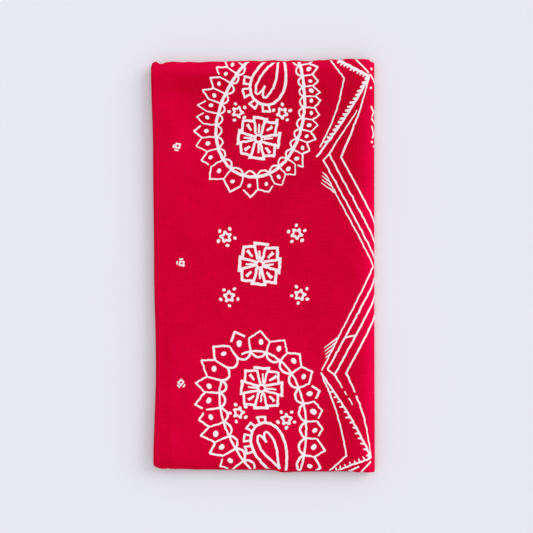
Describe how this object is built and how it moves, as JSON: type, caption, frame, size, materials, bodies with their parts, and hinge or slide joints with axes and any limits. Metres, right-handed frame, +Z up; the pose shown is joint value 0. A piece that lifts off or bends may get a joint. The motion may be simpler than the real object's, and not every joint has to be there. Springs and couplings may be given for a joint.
{
  "type": "folded bandana",
  "caption": "Square printed cotton bandana folded into a flat oblong packet, full fold on one long side and hemmed edges on the other.",
  "frame": {"origin": "on the resting surface, under the middle of the packet", "axes": "+Z up, +Y along the packet's length, +X across it towards the full fold"},
  "size_m": [0.1394, 0.2563, 0.0081],
  "materials": {
    "printed_cotton": "plain-weave cotton, red with a white paisley print",
    "folded_cotton": "plain-weave cotton, red",
    "hem_cotton": "plain-weave cotton, red, turned in twice and stitched"
  },
  "bodies": {
    "root": {"outer_layer": "printed_cotton", "hidden_layers": "folded_cotton", "lower_hem": "hem_cotton", "upper_hem": "hem_cotton"}
  },
  "joints": []
}
